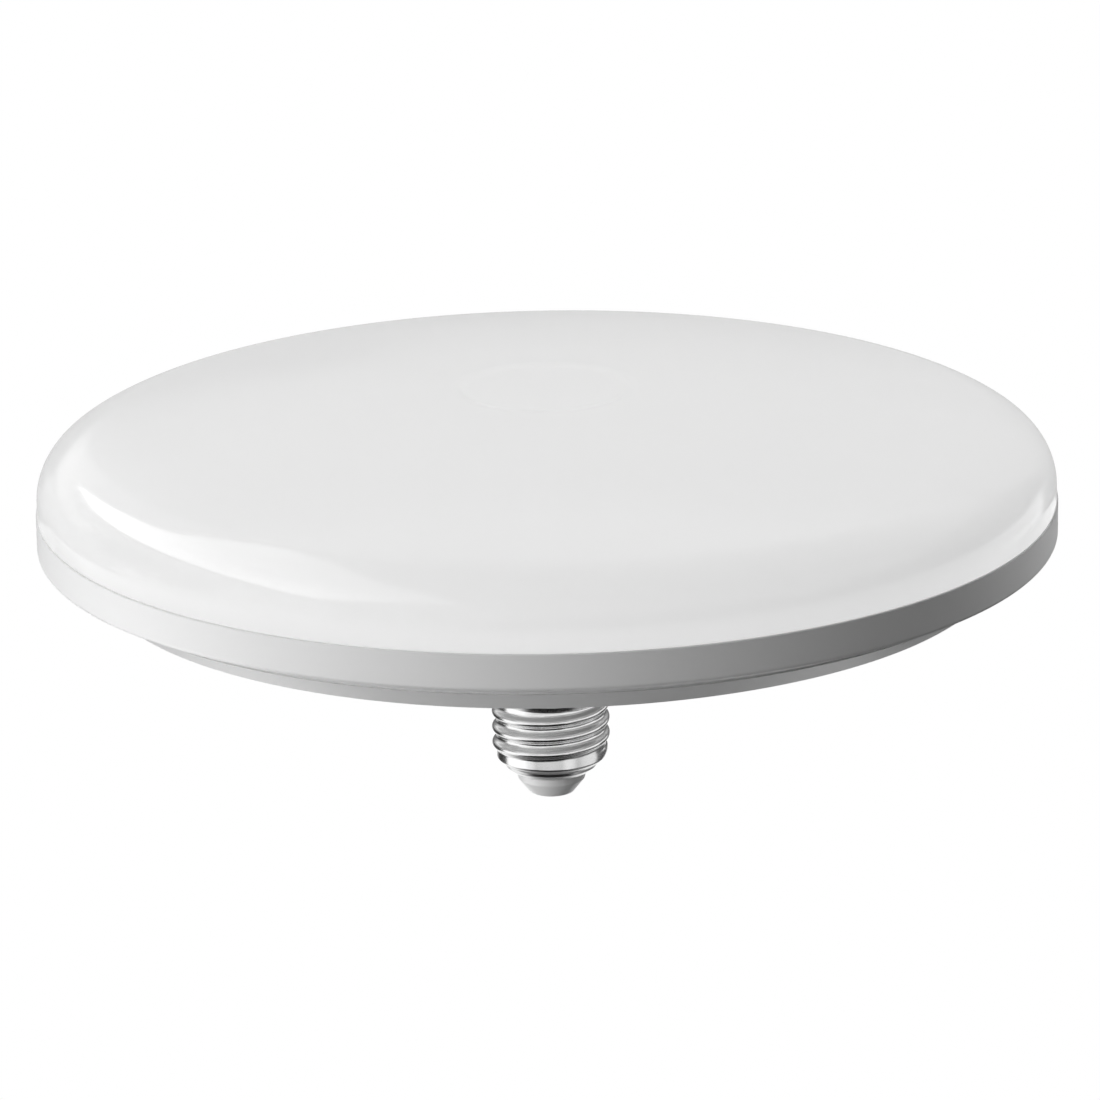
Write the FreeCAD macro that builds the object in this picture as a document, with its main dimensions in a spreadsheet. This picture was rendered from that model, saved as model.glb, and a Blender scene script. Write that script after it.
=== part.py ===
"""LED disc lamp with a domed opal diffuser and an E27 screw cap.

Millimetres. The origin is the face of the centre contact, on the lamp's axis,
and +Z points from the cap to the crown of the dome.
"""
import FreeCAD, Part
import math
import os
import re

import Sketcher

Vector = FreeCAD.Vector

# Driving sizes. Each one is written once, here.
SIZES = {
    # Screw cap
    "thread_root_radius": 12.15,
    "thread_depth": 1.0,
    "thread_pitch": 3.629,
    "thread_turns": 3.15,
    "thread_start_gap": 1.5,
    "thread_foot_share": 0.43,
    "thread_shoulder_share": 0.175,
    "thread_crest_share": 0.06,
    "cap_wall": 0.3,
    "cap_top_plain": 0.82,
    "cap_bell_flare": 0.5,
    "cap_bell_height": 1.2,
    "cap_upper_cone_width": 1.55,
    "cap_upper_cone_height": 1.15,
    "cap_waist_taper": 0.3,
    "cap_waist_height": 0.8,
    "cap_lower_cone_width": 2.4,
    "cap_lower_cone_height": 1.8,
    "cap_lip_height": 5.1,
    "insulator_cone_width": 2.9,
    "insulator_shoulder_drop": 1.35,
    "insulator_shoulder_taper": 0.13,
    "insulator_plug_rise": 0.2,
    "contact_inset": 0.3,
    "contact_thickness": 0.6,
    "contact_stem_radius": 1.2,
    "contact_rivet_radius": 2.2,
    "contact_rivet_height": 0.6,
    # Housing, one white moulding
    "ring_radius": 112.5,
    "ring_height": 8.0,
    "ring_wall": 2.0,
    "ring_edge_round": 0.9,
    "ring_underside_width": 2.5,
    "housing_wall": 2.0,
    "back_slope_width": 11.0,
    "back_slope_height": 8.1,
    "back_step_round": 0.5,
    "back_floor_rise": 4.9,
    "neck_top_radius": 34.0,
    "neck_top_round": 7.0,
    "neck_height": 20.6,
    "neck_collar_width": 4.35,
    "neck_collar_height": 2.5,
    "neck_collar_round": 0.6,
    "spigot_wall": 2.0,
    "spigot_rise": 4.2,
    "plate_ledge_width": 2.0,
    "rib_thickness": 1.4,
    "rib_height": 3.6,
    "rib_gap": 4.0,
    "rib_foot_rise": 1.2,
    "rib_count": 12,
    # Diffuser, one opal moulding
    "diffuser_setback": 0.3,
    "diffuser_wall": 1.5,
    "diffuser_straight": 3.3,
    "diffuser_step_bottom": 0.75,
    "diffuser_step_top": 2.55,
    "diffuser_shoulder_round": 10.8,
    "diffuser_shoulder_angle": 56.86,
    "diffuser_blend_round": 23.5,
    "diffuser_blend_angle": 78.86,
    "gate_recess_radius": 18.55,
    "gate_recess_depth": 0.35,
    "snap_lug_rise": 0.6,
    "snap_lug_height": 1.2,
    "snap_lug_reach": 0.5,
    "snap_lug_width": 12.0,
    "snap_lug_count": 6,
    "snap_lug_root": 0.75,
    "snap_groove_depth": 0.65,
    # Heat spreader, LED board and its screws
    "plate_thickness": 1.2,
    "board_thickness": 1.0,
    "board_margin": 10.5,
    "wire_hole_radius": 8.0,
    "board_screw_radius": 1.25,
    "board_screw_length": 10.0,
    "board_screw_head_radius": 2.6,
    "board_screw_head_height": 1.6,
    "board_boss_radius": 4.0,
    "screw_hole_clearance": 0.35,
    "led_length": 3.5,
    "led_width": 2.8,
    "led_height": 0.7,
    "led_inner_ring": 28.0,
    "led_edge_gap": 9.0,
    "led_spokes": 18,
    "connector_length": 6.0,
    "connector_width": 6.0,
    "connector_height": 2.6,
    "connector_gap": 5.0,
    # Driver board and its screws
    "driver_margin": 7.0,
    "driver_thickness": 1.6,
    "driver_seat_rise": 6.5,
    "driver_screw_inset": 4.0,
    "driver_screw_radius": 1.0,
    "driver_screw_length": 4.0,
    "driver_screw_head_radius": 2.1,
    "driver_screw_head_height": 1.4,
    "driver_boss_radius": 3.0,
    "choke_waist_radius": 2.8,
    "choke_flange": 2.0,
    "winding_inset": 0.6,
    "can_edge": 0.5,
    # Leads
    "lead_radius": 0.7,
    "led_lead_spacing": 2.4,
    "led_lead_offset": 4.0,
    "mains_lead_offset": 4.5,
    "mains_lead_drop": 3.0,
    "neutral_joint_rise": 2.2,
    # Running fits
    "snap_clearance": 0.2,
    "skirt_clearance": 0.4,
    "plate_clearance": 0.3,
    "cap_clearance": 0.12,
    "plug_clearance": 0.06,
    "joint_clearance": 0.1,
}

# Round parts of the driver: place on the board, radius and height.
CANS = {
    "bulk_capacitor": (0.0, 10.5, 5.0, 15.0),
    "output_capacitor": (-12.5, 9.0, 4.0, 11.0),
    "input_choke": (12.5, -8.5, 3.8, 9.0),
    "power_choke": (0.0, -11.5, 5.2, 10.0),
}

# Square packages of the driver: place on the board, length, width and height.
PACKAGES_BELOW = {
    "film_capacitor": (12.5, 9.0, 9.5, 5.0, 9.0),
    "varistor": (-12.5, -8.5, 8.0, 3.6, 8.0),
    "fuse_resistor": (-23.0, 0.0, 3.2, 9.0, 3.2),
}
PACKAGES_ABOVE = {
    "bridge_rectifier": (-17.0, -11.0, 4.8, 4.0, 2.5),
    "driver_chip": (12.0, 12.0, 5.0, 4.0, 1.6),
    "freewheel_diode": (16.0, -10.0, 4.4, 2.7, 2.2),
}
for name, values in CANS.items():
    for aspect, value in zip(("x", "y", "radius", "height"), values):
        SIZES[f"{name}_{aspect}"] = value
for name, values in {**PACKAGES_BELOW, **PACKAGES_ABOVE}.items():
    for aspect, value in zip(("x", "y", "length", "width", "height"), values):
        SIZES[f"{name}_{aspect}"] = value

# Sizes that follow from the driving ones.
DERIVED = {
    "thread_crest_radius": "thread_root_radius + thread_depth",
    "cap_bell_radius": "thread_root_radius + cap_bell_flare",
    "cap_waist_radius": "thread_root_radius - cap_upper_cone_width",
    "cap_foot_radius": "cap_waist_radius - cap_waist_taper",
    "cap_lip_radius": "cap_foot_radius - cap_lower_cone_width",
    "cap_waist_bottom": "cap_lip_height + cap_lower_cone_height",
    "cap_waist_top": "cap_waist_bottom + cap_waist_height",
    "cap_taper_top": "cap_waist_top + cap_upper_cone_height",
    "cap_corner": "cap_wall * tan(22.5)",
    "thread_first_crest": "cap_taper_top + thread_start_gap",
    "thread_height": "thread_pitch * thread_turns",
    "cap_bell_bottom": "thread_first_crest + thread_height + cap_top_plain",
    "cap_bell_top": "cap_bell_bottom + cap_bell_height",
    "cap_rim_height": "cap_bell_top + cap_bell_height",
    "insulator_tip_radius": "cap_lip_radius - insulator_cone_width",
    "insulator_plug_height": "cap_waist_top + insulator_plug_rise",
    "contact_radius": "insulator_tip_radius - contact_inset",
    "rivet_top": "insulator_plug_height + contact_rivet_height",
    "neck_bottom": "cap_rim_height + neck_collar_height",
    "neck_top": "neck_bottom + neck_height",
    "neck_collar_radius": "thread_root_radius + neck_collar_width",
    "back_floor": "neck_top + back_floor_rise",
    "ring_bottom": "back_floor + back_slope_height",
    "rim_top": "ring_bottom + ring_height",
    "back_slope_top_radius": "ring_radius - ring_underside_width",
    "back_step_radius": "back_slope_top_radius - back_slope_width",
    "floor_ratio": "back_floor_rise / (back_step_radius - neck_top_radius)",
    "slope_ratio": "back_slope_height / back_slope_width",
    "slope_lift": "housing_wall * sqrt(1 + slope_ratio * slope_ratio)",
    "neck_ratio": "neck_height / (neck_top_radius - neck_collar_radius)",
    "neck_lift": "housing_wall * sqrt(1 + neck_ratio * neck_ratio)",
    "ring_inner_radius": "ring_radius - ring_wall",
    "ledge_top": "ring_bottom + housing_wall",
    "ledge_inner_radius": "ring_inner_radius - plate_ledge_width",
    "board_bottom": "ledge_top + plate_thickness",
    "board_top": "board_bottom + board_thickness",
    "board_radius": "ring_inner_radius - board_margin",
    "led_ring_step": "(board_radius - led_edge_gap - led_inner_ring) / 3",
    "board_screw_circle": "led_inner_ring + 1.5 * led_ring_step",
    "connector_distance": "wire_hole_radius + connector_gap",
    "spigot_bottom": "cap_taper_top + spigot_rise",
    "spigot_radius": "thread_root_radius - cap_wall - cap_clearance",
    "spigot_bore_radius": "spigot_radius - spigot_wall",
    "skirt_bottom": "board_bottom + skirt_clearance",
    "skirt_radius": "ring_inner_radius - snap_clearance",
    "skirt_inner_radius": "skirt_radius - diffuser_wall",
    "snap_lug_bottom": "skirt_bottom + snap_lug_rise",
    "snap_lug_top": "snap_lug_bottom + snap_lug_height",
    "driver_radius": "neck_top_radius + driver_margin",
    "driver_screw_circle": "driver_radius - driver_screw_inset",
    "rib_inner_radius": "driver_radius + rib_gap",
    "driver_bottom": "neck_top + driver_seat_rise",
    "driver_top": "driver_bottom + driver_thickness",
    "diffuser_radius": "ring_radius - diffuser_setback",
    "shoulder_centre": "rim_top + diffuser_straight",
    "blend_shift": "diffuser_blend_round - diffuser_shoulder_round",
    "blend_centre_x": "diffuser_radius - diffuser_shoulder_round - blend_shift * cos(diffuser_shoulder_angle)",
    "blend_centre_z": "shoulder_centre - blend_shift * sin(diffuser_shoulder_angle)",
    "crown_radius": "blend_centre_x / cos(diffuser_blend_angle) + diffuser_blend_round",
    "crown_centre": "blend_centre_z - (crown_radius - diffuser_blend_round) * sin(diffuser_blend_angle)",
    "apex": "crown_centre + crown_radius",
}

doc = FreeCAD.newDocument("LedDiscLamp")
sheet = doc.addObject("Spreadsheet::Sheet", "Sizes")
for row, (alias, value) in enumerate(SIZES.items(), start=1):
    sheet.set(f"A{row}", alias)
    sheet.set(f"B{row}", str(value))
    sheet.setAlias(f"B{row}", alias)
for row, (alias, formula) in enumerate(DERIVED.items(), start=len(SIZES) + 1):
    sheet.set(f"A{row}", alias)
    sheet.set(f"B{row}", "=" + formula)
    sheet.setAlias(f"B{row}", alias)
doc.recompute()

ALIASES = set(SIZES) | set(DERIVED)
sub_parts = []


def bound(formula):
    """The formula with each alias written as a cell of the sheet."""
    def qualify(word):
        return "Sizes." + word.group() if word.group() in ALIASES else word.group()
    return re.sub(r"[a-z_]+", qualify, str(formula))


def size(formula):
    """The present value of a formula on the sheet's aliases."""
    result = sheet.evalExpression(str(formula))
    return float(getattr(result, "Value", result))


def bind(thing, prop, formula):
    """Tie one property of an object to the sheet."""
    thing.setExpression(prop, bound(formula))


def origin_feature(body, role):
    """One of the body's own origin planes or axes."""
    return next(item for item in body.Origin.OriginFeatures if item.Role == role)


def new_body(label):
    """An empty body that is written out as one sub-part."""
    body = doc.addObject("PartDesign::Body", label)
    body.Label = label
    body.AllowCompound = True
    sub_parts.append(body)
    return body


def new_sketch(body, name, plane, height=None):
    """A sketch on an origin plane, lifted along the plane's normal."""
    sketch = body.newObject("Sketcher::SketchObject", name)
    sketch.AttachmentSupport = [(origin_feature(body, plane), "")]
    sketch.MapMode = "FlatFace"
    if height is not None:
        bind(sketch, "AttachmentOffset.Base.z", height)
    return sketch


def dimension(sketch, kind, refs, formula, name):
    """A driving constraint whose value comes from the sheet."""
    index = sketch.addConstraint(Sketcher.Constraint(kind, *refs, size(formula)))
    sketch.renameConstraint(index, name)
    bind(sketch, "Constraints." + name, formula)


def place_point(sketch, geometry, end, x, y, name):
    """Hold one point of the sketch at the formulas x and y."""
    for kind, axis, formula in (("DistanceX", -2, x), ("DistanceY", -1, y)):
        value = size(formula)
        if abs(value) < 1e-9:
            sketch.addConstraint(Sketcher.Constraint("PointOnObject", geometry, end, axis))
        elif value > 0:
            dimension(sketch, kind, (-1, 1, geometry, end), formula, name + kind[-1])
        else:
            dimension(sketch, kind, (geometry, end, -1, 1), f"-({formula})", name + kind[-1])


def outline(sketch, corners, arcs=(), name="corner"):
    """A closed outline through the corners.

    arcs gives, for the side that leaves a corner, its radius and whether it
    bulges to the left of its own direction (1) or to the right (-1).
    """
    arcs = dict(arcs)
    points = [Vector(size(x), size(y), 0) for x, y in corners]
    first = sketch.GeometryCount
    for index, start in enumerate(points):
        end = points[(index + 1) % len(points)]
        if index in arcs:
            radius, side = arcs[index]
            half = (end - start) * 0.5
            across = Vector(-half.y, half.x, 0).normalize()
            reach = size(radius)
            sagitta = reach - math.sqrt(reach ** 2 - half.Length ** 2)
            middle = start + half + across * side * sagitta
            sketch.addGeometry(Part.Arc(start, middle, end), False)
        else:
            sketch.addGeometry(Part.LineSegment(start, end), False)
    count = len(points)
    starts = []
    for index in range(count):
        # An arc is stored anticlockwise, so its own start may be the outline's end.
        side = arcs[index][1] if index in arcs else -1
        starts.append(1 if side < 0 else 2)
    for index in range(count):
        after = (index + 1) % count
        sketch.addConstraint(Sketcher.Constraint(
            "Coincident", first + index, 3 - starts[index], first + after, starts[after]))
    for index, (x, y) in enumerate(corners):
        place_point(sketch, first + index, starts[index], x, y, f"{name}{index}")
    for index, (radius, side) in arcs.items():
        dimension(sketch, "Radius", (first + index,), radius, f"{name}{index}Round")


def circle(sketch, x, y, radius, name):
    """A circle with its centre and radius bound to the sheet."""
    centre = Vector(size(x), size(y), 0)
    index = sketch.addGeometry(Part.Circle(centre, Vector(0, 0, 1), size(radius)), False)
    place_point(sketch, index, 3, x, y, name)
    dimension(sketch, "Radius", (index,), radius, name + "Radius")


def rectangle(sketch, x, y, length, width, name):
    """A rectangle about the point x, y."""
    half_x, half_y = f"({length}) / 2", f"({width}) / 2"
    outline(sketch, [
        (f"{x} - {half_x}", f"{y} - {half_y}"), (f"{x} + {half_x}", f"{y} - {half_y}"),
        (f"{x} + {half_x}", f"{y} + {half_y}"), (f"{x} - {half_x}", f"{y} + {half_y}"),
    ], name=name)


def revolve(body, name, corners, arcs=()):
    """A full turn of an outline in the XZ plane about the body's Z axis."""
    sketch = new_sketch(body, name + "_outline", "XZ_Plane")
    outline(sketch, corners, arcs)
    feature = body.newObject("PartDesign::Revolution", name)
    feature.Profile = sketch
    feature.ReferenceAxis = (sketch, ["V_Axis"])
    feature.Angle = 360
    return feature


def pad(body, name, sketch, length, down=False, midplane=False):
    """A pad as long as the formula says."""
    feature = body.newObject("PartDesign::Pad", name)
    feature.Profile = sketch
    feature.Length = size(length)
    bind(feature, "Length", length)
    feature.Reversed = down
    feature.Midplane = midplane
    return feature


def around(body, name, feature, count):
    """Copies of a feature evenly round the body's Z axis."""
    pattern = body.newObject("PartDesign::PolarPattern", name)
    pattern.Originals = [feature]
    pattern.Axis = (origin_feature(body, "Z_Axis"), [""])
    pattern.Angle = 360
    pattern.Occurrences = int(size(count))
    bind(pattern, "Occurrences", count)
    body.Tip = pattern
    return pattern


def round_edge(body, name, radius, at_radius, height):
    """A fillet on the round edge of the body that lies at that radius and height."""
    doc.recompute()
    base = body.Tip
    wanted = Vector(0, 0, size(height))
    names = [
        f"Edge{index}" for index, edge in enumerate(base.Shape.Edges, start=1)
        if hasattr(edge.Curve, "Radius") and (edge.Curve.Center - wanted).Length < 1e-4
        and abs(edge.Curve.Radius - size(at_radius)) < 1e-4
    ]
    fillet = body.newObject("PartDesign::Fillet", name)
    fillet.Base = (base, names)
    fillet.Radius = size(radius)
    bind(fillet, "Radius", radius)
    return fillet


def move(thing, x="0", y="0", z="0"):
    """Place a sub-part by formulas."""
    thing.Placement = FreeCAD.Placement(Vector(size(x), size(y), size(z)), thing.Placement.Rotation)
    for axis, formula in (("x", x), ("y", y), ("z", z)):
        if formula != "0":
            bind(thing, "Placement.Base." + axis, formula)


def round_points(circle_radius, count, start_angle):
    """Formulas for points evenly spaced on a circle."""
    angles = [start_angle + 360 / count * step for step in range(count)]
    return [(f"{circle_radius} * cos({angle})", f"{circle_radius} * sin({angle})") for angle in angles]


def disc(label, bottom, radius, thickness, holes):
    """A flat round sheet or board with round holes, each an x, y and radius."""
    body = new_body(label)
    sketch = new_sketch(body, label + "_outline", "XY_Plane", bottom)
    circle(sketch, "0", "0", radius, "edge")
    for index, (x, y, hole_radius) in enumerate(holes):
        circle(sketch, x, y, hole_radius, f"hole{chr(97 + index)}")
    pad(body, label + "_sheet", sketch, thickness)
    return body


def turned(label, corners, arcs=(), x="0", y="0", z="0"):
    """A turned sub-part: an outline of radius and height, swept round its own axis."""
    body = new_body(label)
    revolve(body, label + "_turning", corners, arcs)
    move(body, x, y, z)
    return body


def block(label, x, y, bottom, length, width, height):
    """A moulded rectangular package, centred on x, y."""
    box = doc.addObject("Part::Box", label)
    box.Label = label
    for prop, formula in (("Length", length), ("Width", width), ("Height", height)):
        bind(box, prop, formula)
    move(box, f"{x} - ({length}) / 2", f"{y} - ({width}) / 2", bottom)
    sub_parts.append(box)
    return box


def lead(label, route, y):
    """A round insulated lead: straight runs in a plane of constant y, joined by tangent arcs."""
    points = [Vector(size(x), size(y), size(z)) for x, z in route]
    edges, start = [], points[0]
    for before, corner, after in zip(points, points[1:], points[2:]):
        back, ahead = before - corner, after - corner
        turn = math.pi - back.getAngle(ahead)
        setback = 0.45 * min(back.Length, ahead.Length)
        bend = setback / math.tan(turn / 2)
        into, out = corner + back.normalize() * setback, corner + ahead.normalize() * setback
        chord_middle = (into + out) * 0.5
        inward = (chord_middle - corner).normalize()
        arc_middle = corner + inward * (bend / math.cos(turn / 2) - bend)
        edges += [Part.LineSegment(start, into).toShape(), Part.Arc(into, arc_middle, out).toShape()]
        start = out
    edges.append(Part.LineSegment(start, points[-1]).toShape())
    path = Part.Wire(edges)
    end_circle = Part.Circle(points[0], points[1] - points[0], size("lead_radius"))
    tube = path.makePipeShell([Part.Wire(end_circle.toShape())], True, False)
    feature = doc.addObject("Part::Feature", label)
    feature.Label = label
    feature.Shape = tube
    sub_parts.append(feature)
    return feature


# Screw cap: a thin drawn shell with a rolled thread, its insulator and the centre contact
def make_cap_shell():
    body = new_body("cap_shell")
    revolve(body, "cap_sleeve", [
        ("cap_lip_radius", "cap_lip_height"),
        ("cap_foot_radius", "cap_waist_bottom"),
        ("cap_waist_radius", "cap_waist_top"),
        ("thread_root_radius", "cap_taper_top"),
        ("thread_root_radius", "cap_bell_bottom"),
        ("cap_bell_radius", "cap_bell_top"),
        ("cap_bell_radius", "cap_rim_height"),
        ("cap_bell_radius - cap_wall", "cap_rim_height"),
        ("cap_bell_radius - cap_wall", "cap_bell_top"),
        ("thread_root_radius - cap_wall", "cap_bell_bottom"),
        ("thread_root_radius - cap_wall", "cap_taper_top + cap_corner"),
        ("cap_waist_radius - cap_wall", "cap_waist_top + cap_corner"),
        ("cap_foot_radius - cap_wall", "cap_waist_bottom + cap_corner"),
        ("cap_lip_radius - cap_wall * cos(45)", "cap_lip_height + cap_wall * sin(45)"),
    ])
    # The ridge of the thread, a blunt knuckle swept up the helix.
    ridge = new_sketch(body, "thread_ridge", "XZ_Plane")
    foot_radius = "thread_root_radius - 0.5 * cap_wall"
    shoulder_radius = "thread_crest_radius - 0.2 * thread_depth"
    outline(ridge, [
        (foot_radius, "thread_first_crest - thread_foot_share * thread_pitch"),
        (shoulder_radius, "thread_first_crest - thread_shoulder_share * thread_pitch"),
        ("thread_crest_radius", "thread_first_crest - thread_crest_share * thread_pitch"),
        ("thread_crest_radius", "thread_first_crest + thread_crest_share * thread_pitch"),
        (shoulder_radius, "thread_first_crest + thread_shoulder_share * thread_pitch"),
        (foot_radius, "thread_first_crest + thread_foot_share * thread_pitch"),
    ])
    thread = body.newObject("PartDesign::AdditiveHelix", "thread")
    thread.Profile = ridge
    thread.ReferenceAxis = (ridge, ["V_Axis"])
    thread.Mode = 0
    for prop, formula in (("Pitch", "thread_pitch"), ("Height", "thread_height")):
        setattr(thread, prop, size(formula))
        bind(thread, prop, formula)
    thread.Angle = 0
    thread.LeftHanded = False


def make_cap_insulator():
    plug = "cap_foot_radius - cap_wall - plug_clearance"
    lip = "cap_lip_radius - cap_wall * cos(45) - plug_clearance"
    hole = "contact_stem_radius + plug_clearance"
    turned("cap_insulator", [
        (hole, "contact_thickness"),
        ("insulator_tip_radius", "contact_thickness"),
        (f"{lip} - insulator_shoulder_taper", "cap_lip_height - insulator_shoulder_drop"),
        (lip, "cap_lip_height + cap_wall * sin(45)"),
        (plug, "cap_waist_bottom + cap_corner"),
        (plug, "insulator_plug_height"),
        (hole, "insulator_plug_height"),
    ])


def make_centre_contact():
    bevel = "0.3 * contact_thickness"
    turned("centre_contact", [
        ("0", "0"),
        (f"contact_radius - {bevel}", "0"),
        ("contact_radius", bevel),
        ("contact_radius", "contact_thickness"),
        ("contact_stem_radius", "contact_thickness"),
        ("contact_stem_radius", "insulator_plug_height"),
        ("contact_rivet_radius", "insulator_plug_height"),
        ("contact_rivet_radius", "rivet_top"),
        ("0", "rivet_top"),
    ])


# Housing: ring, stepped back, neck and spigot in one moulding
def make_housing():
    body = new_body("housing")
    meet = "(back_step_radius + (housing_wall - slope_lift) / (slope_ratio - floor_ratio))"
    neck_inner = "(neck_top_radius - (neck_lift - housing_wall) / (neck_ratio - floor_ratio))"
    neck_foot = "neck_bottom + housing_wall"
    revolve(body, "housing_shell", [
        ("spigot_bore_radius", "spigot_bottom"),
        ("spigot_radius", "spigot_bottom"),
        ("spigot_radius", "cap_rim_height"),
        ("neck_collar_radius", "cap_rim_height"),
        ("neck_collar_radius", "neck_bottom"),
        ("neck_top_radius", "neck_top"),
        ("back_step_radius", "back_floor"),
        ("back_slope_top_radius", "ring_bottom"),
        ("ring_radius - ring_edge_round", "ring_bottom"),
        ("ring_radius", "ring_bottom + ring_edge_round"),
        ("ring_radius", "rim_top"),
        ("ring_inner_radius", "rim_top"),
        ("ring_inner_radius", "snap_lug_top + snap_clearance"),
        ("ring_inner_radius + snap_groove_depth", "snap_lug_top + snap_clearance"),
        ("ring_inner_radius + snap_groove_depth", "snap_lug_bottom - snap_clearance"),
        ("ring_inner_radius", "snap_lug_bottom - snap_clearance"),
        ("ring_inner_radius", "ledge_top"),
        ("ledge_inner_radius", "ledge_top"),
        ("ledge_inner_radius",
         "back_floor + slope_lift + (ledge_inner_radius - back_step_radius) * slope_ratio"),
        (meet, f"back_floor + housing_wall + ({meet} - back_step_radius) * floor_ratio"),
        (neck_inner, f"neck_top + housing_wall + ({neck_inner} - neck_top_radius) * floor_ratio"),
        (f"neck_collar_radius + ({neck_foot} - neck_bottom - neck_lift) / neck_ratio", neck_foot),
        ("spigot_bore_radius", neck_foot),
    ], arcs={8: ("ring_edge_round", -1)})
    round_edge(body, "neck_top_fillet", "neck_top_round", "neck_top_radius", "neck_top")
    round_edge(body, "step_fillet", "back_step_round", "back_step_radius", "back_floor")
    round_edge(body, "collar_fillet", "neck_collar_round", "neck_collar_radius", "cap_rim_height")

    # Stiffening ribs inside the back, from the driver's mouth to the sloped wall.
    rib_top = "back_floor + housing_wall + rib_height"
    rib = new_sketch(body, "rib_outline", "XZ_Plane")
    outline(rib, [
        ("rib_inner_radius",
         "neck_top + 0.5 * housing_wall + (rib_inner_radius - neck_top_radius) * floor_ratio"),
        ("back_step_radius", "back_floor + 0.5 * housing_wall"),
        ("back_step_radius + (housing_wall + rib_height - 0.5 * slope_lift) / slope_ratio", rib_top),
        ("rib_inner_radius", rib_top),
    ])
    first_rib = pad(body, "rib", rib, "rib_thickness", midplane=True)
    around(body, "ribs", first_rib, "rib_count")

    # Screw bosses for the LED board, and shorter ones for the driver board.
    boss_rings = (
        ("board_boss", "board_screw_circle", "board_boss_radius", "board_screw_radius",
         "ledge_top", 4, 45),
        ("driver_boss", "driver_screw_circle", "driver_boss_radius", "driver_screw_radius",
         "driver_bottom", 3, 90),
    )
    for name, ring, boss_radius, pilot_radius, top, count, start_angle in boss_rings:
        sketch = new_sketch(body, name + "_outline", "XY_Plane", top)
        for index, (x, y) in enumerate(round_points(ring, count, start_angle)):
            circle(sketch, x, y, boss_radius, f"boss{chr(97 + index)}")
            circle(sketch, x, y, pilot_radius, f"pilot{chr(97 + index)}")
        foot = f"neck_top + ({ring} - neck_top_radius) * floor_ratio + rib_foot_rise"
        pad(body, name, sketch, f"{top} - ({foot})", down=True)


# Diffuser: a shallow dome with a skirt that snaps into the ring
def make_diffuser():
    body = new_body("diffuser")

    def dome(inset):
        """The corners of the dome's wall, inset from its outer face, from rim to crown."""
        shoulder = f"(diffuser_shoulder_round - {inset})"
        blend = f"(diffuser_blend_round - {inset})"
        return [
            (f"diffuser_radius - {inset}", "shoulder_centre"),
            (f"diffuser_radius - diffuser_shoulder_round + {shoulder} * cos(diffuser_shoulder_angle)",
             f"shoulder_centre + {shoulder} * sin(diffuser_shoulder_angle)"),
            (f"blend_centre_x + {blend} * cos(diffuser_blend_angle)",
             f"blend_centre_z + {blend} * sin(diffuser_blend_angle)"),
        ]

    outer, inner = dome("0"), dome("diffuser_wall")
    recess = "crown_radius - gate_recess_depth"
    corners = [
        ("skirt_radius", "skirt_bottom"),
        ("skirt_radius", "rim_top"),
        ("diffuser_radius", "rim_top"),
        *outer,
        ("gate_recess_radius", "crown_centre + sqrt(crown_radius ^ 2 - gate_recess_radius ^ 2)"),
        ("gate_recess_radius", f"crown_centre + sqrt(({recess}) ^ 2 - gate_recess_radius ^ 2)"),
        ("0", "apex - gate_recess_depth"),
        ("0", "apex - diffuser_wall"),
        *reversed(inner),
        ("diffuser_radius - diffuser_wall", "rim_top + diffuser_step_top"),
        ("skirt_inner_radius", "rim_top + diffuser_step_bottom"),
        ("skirt_inner_radius", "skirt_bottom"),
    ]
    revolve(body, "dome", corners, arcs={
        3: ("diffuser_shoulder_round", -1),
        4: ("diffuser_blend_round", -1),
        5: ("crown_radius", -1),
        7: (recess, -1),
        9: ("crown_radius - diffuser_wall", 1),
        10: ("diffuser_blend_round - diffuser_wall", 1),
        11: ("diffuser_shoulder_round - diffuser_wall", 1),
    })
    # Snap lugs on the skirt.
    lug = new_sketch(body, "snap_lug_outline", "XY_Plane", "snap_lug_top")
    outline(lug, [
        ("skirt_radius - snap_lug_root", "-snap_lug_width / 2"),
        ("skirt_radius + snap_lug_reach", "-snap_lug_width / 2"),
        ("skirt_radius + snap_lug_reach", "snap_lug_width / 2"),
        ("skirt_radius - snap_lug_root", "snap_lug_width / 2"),
    ])
    first_lug = pad(body, "snap_lug", lug, "snap_lug_height", down=True)
    around(body, "snap_lugs", first_lug, "snap_lug_count")


# Light engine: heat spreader, LED board, LED packages, connector and screws
def make_light_engine():
    screw_points = round_points("board_screw_circle", 4, 45)
    hole = "board_screw_radius + screw_hole_clearance"
    holes = [("0", "0", "wire_hole_radius")] + [(x, y, hole) for x, y in screw_points]
    disc("heat_sink_plate", "ledge_top", "ring_inner_radius - plate_clearance", "plate_thickness", holes)
    disc("led_board", "board_bottom", "board_radius", "board_thickness", holes)

    chips = new_body("led_chips")
    spoke = new_sketch(chips, "led_spoke", "XY_Plane", "board_top")
    for ring in range(4):
        rectangle(spoke, f"led_inner_ring + {ring} * led_ring_step", "0", "led_length", "led_width",
                  f"chip{chr(97 + ring)}")
    spoke_pad = pad(chips, "led_row", spoke, "led_height")
    around(chips, "led_rows", spoke_pad, "led_spokes")

    block("led_board_connector", "connector_distance + connector_length / 2", "0", "board_top",
          "connector_length", "connector_width", "connector_height")


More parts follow.
